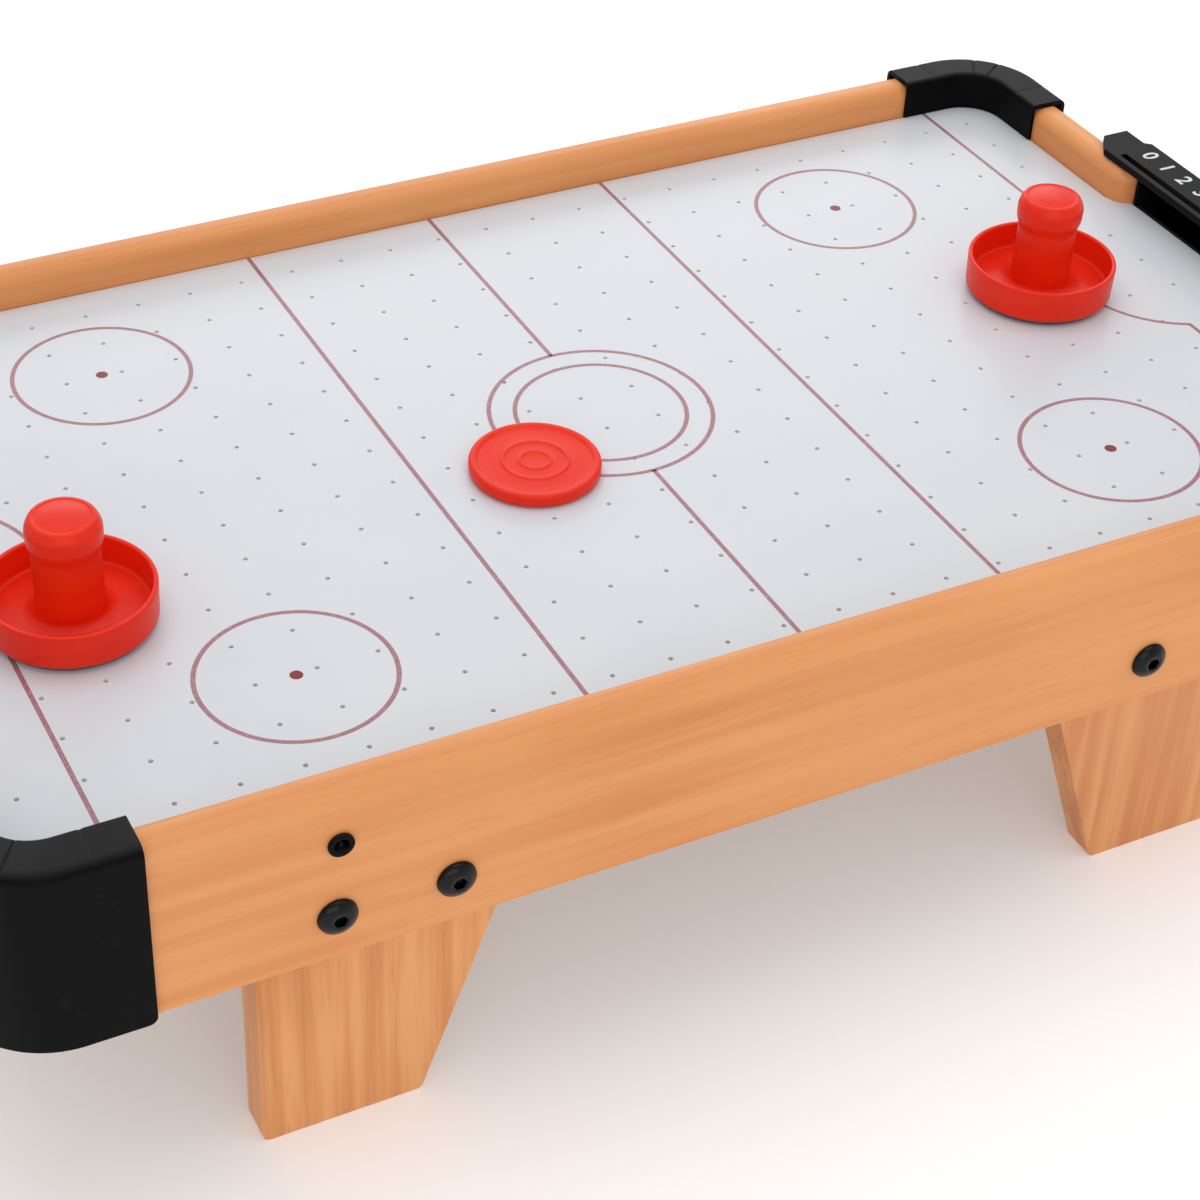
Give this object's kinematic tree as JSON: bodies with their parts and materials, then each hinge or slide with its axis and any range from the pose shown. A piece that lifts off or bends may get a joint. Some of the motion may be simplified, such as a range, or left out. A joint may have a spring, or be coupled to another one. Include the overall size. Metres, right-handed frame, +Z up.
{
  "type": "air hockey table",
  "caption": "Table-top air hockey game: white playing board inside wooden rails with black corner protectors and slide scorers, on plank legs, with pushers, a puck and a fan beneath.",
  "frame": {"origin": "on the floor under the middle of the table", "axes": "+X along the length towards the right goal, +Y across to the back, +Z up"},
  "size_m": [0.5318, 0.3082, 0.1672],
  "materials": {
    "wood": "satin wood-grain foil, light oak colour",
    "leg_wood": "satin wood-grain foil, upright grain",
    "white_board": "smooth coated board with thin printed red lines",
    "fibreboard": "raw brown fibreboard",
    "black_plastic": "satin moulded plastic",
    "black_steel": "black oxide",
    "steel": "zinc plated",
    "red_plastic": "glossy moulded plastic",
    "felt": "short felt",
    "cream_plastic": "plain moulded plastic",
    "fan_plastic": "plain moulded plastic"
  },
  "bodies": {
    "table": {"playing_board": "white_board", "base_board": "fibreboard", "side_rail_front": "wood", "side_rail_back": "wood", "end_rail_left_front": "wood", "end_rail_left_back": "wood", "end_rail_right_front": "wood", "end_rail_right_back": "wood", "chamber_batten_front": "fibreboard", "chamber_batten_back": "fibreboard", "chamber_batten_left": "fibreboard", "chamber_batten_right": "fibreboard", "corner_protector_right_back": "black_plastic", "corner_protector_left_back": "black_plastic", "corner_protector_left_front": "black_plastic", "corner_protector_right_front": "black_plastic", "leg_right_back": "leg_wood", "leg_left_back": "leg_wood", "leg_left_front": "leg_wood", "leg_right_front": "leg_wood", "leg_bolt_right_back_inner": "black_steel", "leg_nut_right_back_inner": "steel", "leg_bolt_right_back_outer": "black_steel", "leg_nut_right_back_outer": "steel", "leg_bolt_left_back_inner": "black_steel", "leg_nut_left_back_inner": "steel", "leg_bolt_left_back_outer": "black_steel", "leg_nut_left_back_outer": "steel", "leg_bolt_left_front_inner": "black_steel", "leg_nut_left_front_inner": "steel", "leg_bolt_left_front_outer": "black_steel", "leg_nut_left_front_outer": "steel", "leg_bolt_right_front_inner": "black_steel", "leg_nut_right_front_inner": "steel", "leg_bolt_right_front_outer": "black_steel", "leg_nut_right_front_outer": "steel", "goal_score_unit_left": "black_plastic", "goal_screw_left_front": "black_steel", "goal_screw_left_back": "black_steel", "goal_score_unit_right": "black_plastic", "goal_screw_right_front": "black_steel", "goal_screw_right_back": "black_steel", "fan_housing": "fan_plastic", "fan_motor": "steel", "fan_guard": "fan_plastic", "fan_screw_1": "steel", "fan_screw_2": "steel", "fan_screw_3": "steel", "fan_screw_4": "steel", "power_inlet": "black_plastic", "fan_lead": "black_plastic"},
    "left_score_slider": {"score_slider_left": "red_plastic"},
    "right_score_slider": {"score_slider_right": "red_plastic"},
    "fan_rotor": {"fan_impeller": "cream_plastic"},
    "left_pusher": {"pusher_left": "red_plastic", "pusher_left_felt": "felt"},
    "right_pusher": {"pusher_right": "red_plastic", "pusher_right_felt": "felt"},
    "puck": {"puck": "red_plastic"}
  },
  "joints": [
    {"name": "puck_glide", "type": "slide", "parent": "table", "child": "puck", "axis": [0, 1, 0], "range_m": [-0.0954, 0.1394]},
    {"name": "left_pusher_slide", "type": "slide", "parent": "table", "child": "left_pusher", "axis": [1, 0, 0], "range_m": [-0.0275, 0.11]},
    {"name": "right_pusher_slide", "type": "slide", "parent": "table", "child": "right_pusher", "axis": [1, 0, 0], "range_m": [-0.155, 0.037]},
    {"name": "left_score_slide", "type": "slide", "parent": "table", "child": "left_score_slider", "axis": [0, -1, 0], "range_m": [0, 0.103]},
    {"name": "right_score_slide", "type": "slide", "parent": "table", "child": "right_score_slider", "axis": [0, 1, 0], "range_m": [0, 0.103]},
    {"name": "fan_spin", "type": "hinge", "parent": "table", "child": "fan_rotor", "pos_m": [0, 0, 0.0925], "axis": [0, 0, 1], "continuous": true}
  ]
}
